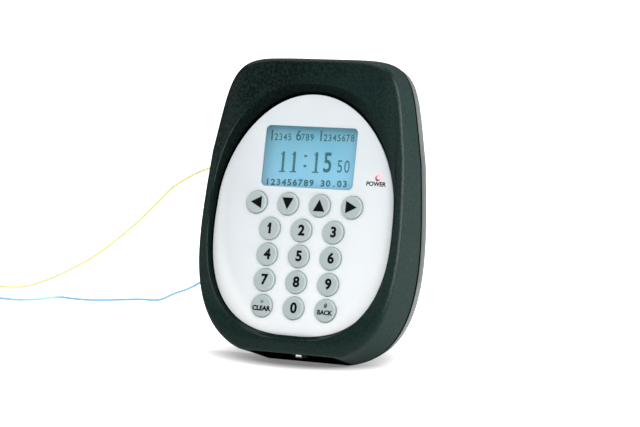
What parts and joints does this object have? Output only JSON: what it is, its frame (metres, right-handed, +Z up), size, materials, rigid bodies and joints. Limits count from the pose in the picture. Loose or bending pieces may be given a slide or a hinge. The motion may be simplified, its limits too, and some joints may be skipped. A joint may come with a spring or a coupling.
{
  "type": "time clock",
  "caption": "Wall-mounted staff time clock: wedge-shaped case with an egg-shaped keypad panel, a lit display, round sprung keys and loose supply leads.",
  "frame": {"origin": "middle of the four wall screw holes, on the wall plane at the rear cover's back face", "axes": "+Z up along the wall, +Y into the wall, +X to the right as seen from the front"},
  "size_m": [0.3915, 0.1716, 0.1777],
  "materials": {
    "cover_plastic": "fine grained charcoal plastic",
    "rear_plastic": "smooth satin grey plastic",
    "panel_white": "satin printed sheet",
    "window_clear": "clear pane",
    "foam": "closed cell foam",
    "bezel_metal": "plated sheet",
    "lcd_blue": "lit blue display",
    "light_guide": "frosted",
    "board_green": "solder mask",
    "black_plastic": "moulded",
    "nylon": "natural nylon",
    "screw_steel": "zinc plated",
    "mat_rubber": "silicone",
    "led_red": "diffused lens",
    "chip_black": "moulded epoxy",
    "capacitor_sleeve": "shrink sleeve",
    "relay_blue": "moulded",
    "copper_wire": "enamelled copper",
    "terminal_green": "moulded",
    "lead_inner": "PVC sleeve",
    "insert_brass": "turned",
    "grommet_rubber": "moulded",
    "lead_yellow": "PVC sleeve",
    "lead_blue": "PVC sleeve",
    "ferrule": "tinned",
    "key_grey": "satin moulded"
  },
  "bodies": {
    "case": {"front_cover": "cover_plastic", "rear_cover": "rear_plastic", "face_panel": "panel_white", "display_window": "window_clear", "display_gasket": "foam", "lcd_bezel": "bezel_metal", "lcd_glass": "lcd_blue", "lcd_backlight": "light_guide", "lcd_board": "board_green", "lcd_header": "black_plastic", "lcd_spacers": "nylon", "lcd_screws": "screw_steel", "keypad_mat": "mat_rubber", "main_board": "board_green", "board_screws": "screw_steel", "power_led": "led_red", "processor": "chip_black", "memory_chips": "chip_black", "crystal": "bezel_metal", "capacitors": "capacitor_sleeve", "voltage_regulator": "chip_black", "relay": "relay_blue", "buzzer": "black_plastic", "cell_holder": "black_plastic", "coin_cell": "bezel_metal", "antenna_coil": "copper_wire", "terminal_header": "terminal_green", "terminal_plug": "terminal_green", "inner_leads": "lead_inner", "lock_screw": "screw_steel", "lock_insert": "insert_brass", "cable_grommet": "grommet_rubber", "yellow_lead": "lead_yellow", "yellow_coil": "lead_yellow", "yellow_tail": "lead_yellow", "yellow_ferrule": "ferrule", "blue_lead": "lead_blue", "blue_coil": "lead_blue", "blue_tail": "lead_blue", "blue_ferrule": "ferrule", "coil_ties": "black_plastic"},
    "key_1": {"key_1": "key_grey"},
    "key_2": {"key_2": "key_grey"},
    "key_3": {"key_3": "key_grey"},
    "key_4": {"key_4": "key_grey"},
    "key_5": {"key_5": "key_grey"},
    "key_6": {"key_6": "key_grey"},
    "key_7": {"key_7": "key_grey"},
    "key_8": {"key_8": "key_grey"},
    "key_9": {"key_9": "key_grey"},
    "key_clear": {"key_clear": "key_grey"},
    "key_0": {"key_0": "key_grey"},
    "key_back": {"key_back": "key_grey"},
    "key_left": {"key_left": "key_grey"},
    "key_down": {"key_down": "key_grey"},
    "key_up": {"key_up": "key_grey"},
    "key_right": {"key_right": "key_grey"}
  },
  "joints": [
    {"name": "key_1_press", "type": "slide", "parent": "case", "child": "key_1", "axis": [0, 0.9936, -0.1132], "range_m": [0, 0.0009], "stiffness_N_per_m": 1200, "springref_m": -0.0003},
    {"name": "key_2_press", "type": "slide", "parent": "case", "child": "key_2", "axis": [0, 0.9936, -0.1132], "range_m": [0, 0.0009], "stiffness_N_per_m": 1200, "springref_m": -0.0003},
    {"name": "key_3_press", "type": "slide", "parent": "case", "child": "key_3", "axis": [0, 0.9936, -0.1132], "range_m": [0, 0.0009], "stiffness_N_per_m": 1200, "springref_m": -0.0003},
    {"name": "key_4_press", "type": "slide", "parent": "case", "child": "key_4", "axis": [0, 0.9936, -0.1132], "range_m": [0, 0.0009], "stiffness_N_per_m": 1200, "springref_m": -0.0003},
    {"name": "key_5_press", "type": "slide", "parent": "case", "child": "key_5", "axis": [0, 0.9936, -0.1132], "range_m": [0, 0.0009], "stiffness_N_per_m": 1200, "springref_m": -0.0003},
    {"name": "key_6_press", "type": "slide", "parent": "case", "child": "key_6", "axis": [0, 0.9936, -0.1132], "range_m": [0, 0.0009], "stiffness_N_per_m": 1200, "springref_m": -0.0003},
    {"name": "key_7_press", "type": "slide", "parent": "case", "child": "key_7", "axis": [0, 0.9936, -0.1132], "range_m": [0, 0.0009], "stiffness_N_per_m": 1200, "springref_m": -0.0003},
    {"name": "key_8_press", "type": "slide", "parent": "case", "child": "key_8", "axis": [0, 0.9936, -0.1132], "range_m": [0, 0.0009], "stiffness_N_per_m": 1200, "springref_m": -0.0003},
    {"name": "key_9_press", "type": "slide", "parent": "case", "child": "key_9", "axis": [0, 0.9936, -0.1132], "range_m": [0, 0.0009], "stiffness_N_per_m": 1200, "springref_m": -0.0003},
    {"name": "key_clear_press", "type": "slide", "parent": "case", "child": "key_clear", "axis": [0, 0.9936, -0.1132], "range_m": [0, 0.0009], "stiffness_N_per_m": 1200, "springref_m": -0.0003},
    {"name": "key_0_press", "type": "slide", "parent": "case", "child": "key_0", "axis": [0, 0.9936, -0.1132], "range_m": [0, 0.0009], "stiffness_N_per_m": 1200, "springref_m": -0.0003},
    {"name": "key_back_press", "type": "slide", "parent": "case", "child": "key_back", "axis": [0, 0.9936, -0.1132], "range_m": [0, 0.0009], "stiffness_N_per_m": 1200, "springref_m": -0.0003},
    {"name": "key_left_press", "type": "slide", "parent": "case", "child": "key_left", "axis": [0, 0.9936, -0.1132], "range_m": [0, 0.0009], "stiffness_N_per_m": 1200, "springref_m": -0.0003},
    {"name": "key_down_press", "type": "slide", "parent": "case", "child": "key_down", "axis": [0, 0.9936, -0.1132], "range_m": [0, 0.0009], "stiffness_N_per_m": 1200, "springref_m": -0.0003},
    {"name": "key_up_press", "type": "slide", "parent": "case", "child": "key_up", "axis": [0, 0.9936, -0.1132], "range_m": [0, 0.0009], "stiffness_N_per_m": 1200, "springref_m": -0.0003},
    {"name": "key_right_press", "type": "slide", "parent": "case", "child": "key_right", "axis": [0, 0.9936, -0.1132], "range_m": [0, 0.0009], "stiffness_N_per_m": 1200, "springref_m": -0.0003}
  ]
}
